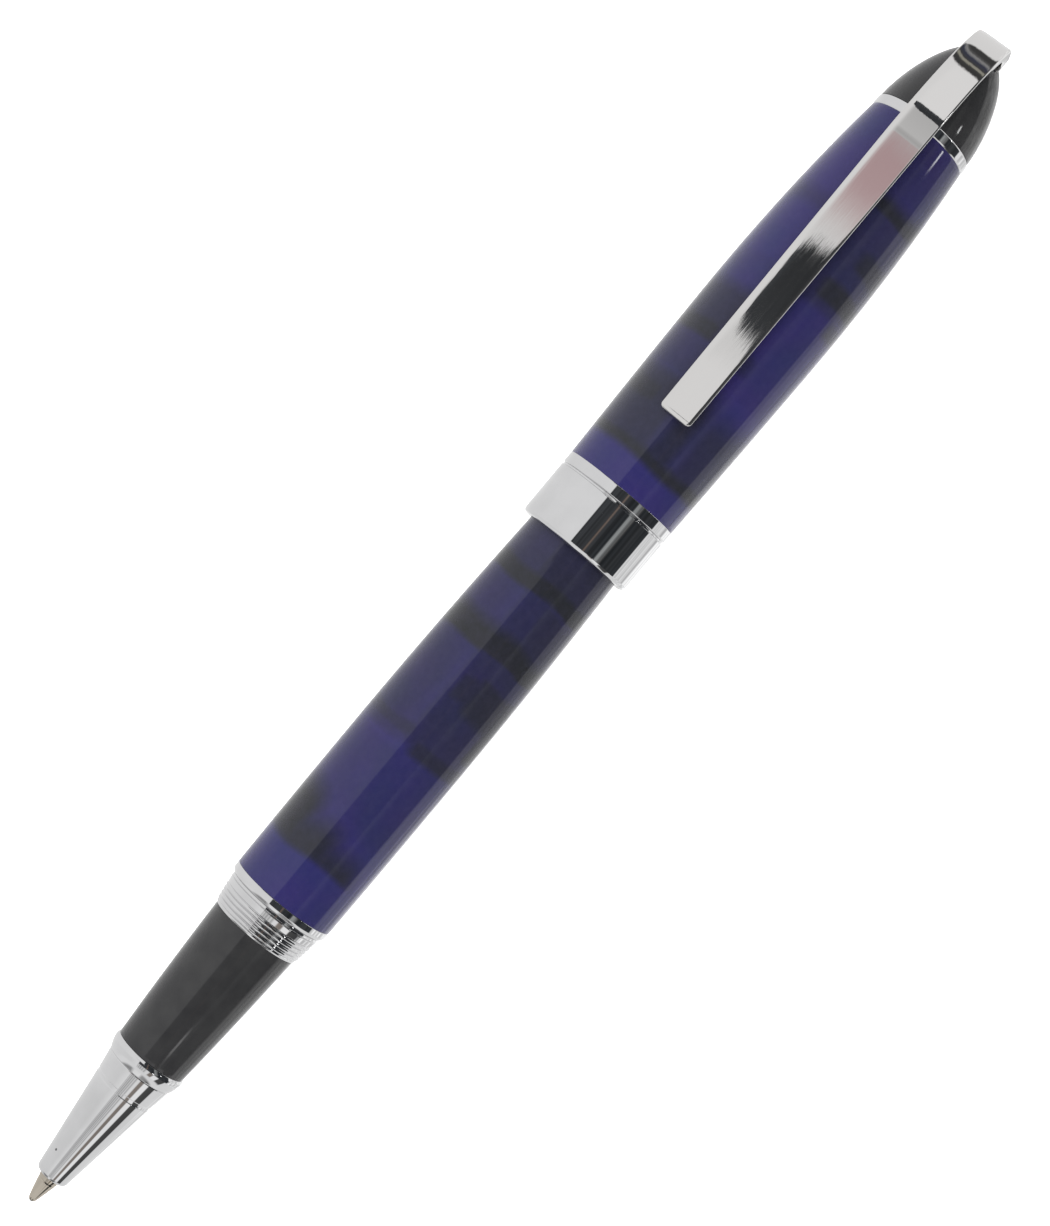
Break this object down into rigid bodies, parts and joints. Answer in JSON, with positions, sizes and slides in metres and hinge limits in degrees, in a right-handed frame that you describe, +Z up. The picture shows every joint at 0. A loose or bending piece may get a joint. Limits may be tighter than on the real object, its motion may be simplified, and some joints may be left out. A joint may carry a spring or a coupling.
{
  "type": "rollerball pen",
  "caption": "Capped rollerball pen with the cap posted on its tail: marbled barrel and cap, black grip and finial, chrome trim and pocket clip.",
  "frame": {"origin": "on the surface the pen lies on, below the middle of its posted length; the pen's axis is level, at the height of the cap's largest radius", "axes": "+X along the pen from the writing ball to the head of the clip, +Z up with the clip on top, +Y to the side"},
  "size_m": [0.1548, 0.014, 0.016],
  "materials": {
    "ball_steel": "polished ball",
    "point_nickel": "turned nickel silver",
    "wick_fibre": "bonded fibre",
    "black_plastic": "moulded, satin",
    "refill_steel": "drawn tube, satin",
    "ink_fibre": "fibre soaked with blue ink",
    "blue_plastic": "moulded",
    "chrome": "polished chrome plate",
    "black_gloss": "polished black resin",
    "brass": "turned brass",
    "marbled_barrel": "polished resin, violet blue with near-black patches",
    "marbled_cap": "polished resin, violet blue with near-black patches",
    "spring_steel": "bright wire"
  },
  "bodies": {
    "barrel": {"barrel_tube": "marbled_barrel", "barrel_collar": "chrome", "barrel_bush": "brass", "refill_spring": "spring_steel", "tail_plug": "black_gloss"},
    "refill": {"refill_tube": "refill_steel", "refill_point": "point_nickel", "feed_wick": "wick_fibre", "refill_nose": "black_plastic", "ink_reservoir": "ink_fibre", "refill_rear_plug": "blue_plastic"},
    "ball": {"tip_ball": "ball_steel"},
    "section": {"grip_section": "black_gloss", "nose_cone": "chrome", "threaded_connector": "brass", "ribbed_ring": "chrome"},
    "cap": {"cap_tube": "marbled_cap", "cap_band": "chrome", "cap_trim_ring": "chrome", "cap_liner": "black_plastic", "lock_nut": "brass", "top_bush": "brass", "finial_stud": "refill_steel", "top_ring": "chrome", "finial_dome": "black_gloss"},
    "clip": {"clip": "chrome"}
  },
  "joints": [
    {"name": "cap_slide", "type": "slide", "parent": "barrel", "child": "cap", "axis": [1, 0, 0], "range_m": [0, 0.04]},
    {"name": "clip_lift", "type": "hinge", "parent": "cap", "child": "clip", "pos_m": [0.0745, 0, 0.00585], "axis": [0, 1, 0], "range_deg": [0, 2.3], "stiffness_Nm_per_rad": 12},
    {"name": "refill_slide", "type": "slide", "parent": "barrel", "child": "refill", "axis": [-1, 0, 0], "range_m": [0, 0.0045]},
    {"name": "section_turn", "type": "hinge", "parent": "refill", "child": "section", "pos_m": [-0.04, 0, 0.00701], "axis": [-1, 0, 0], "range_deg": [0, 2160]},
    {"name": "ball_roll", "type": "hinge", "parent": "refill", "child": "ball", "pos_m": [-0.07705, 0, 0.00701], "axis": [0, 1, 0], "continuous": true}
  ],
  "couplings": [
    {"joint": "section_turn", "follows": "refill_slide", "rad_per_m": 8377.5}
  ]
}
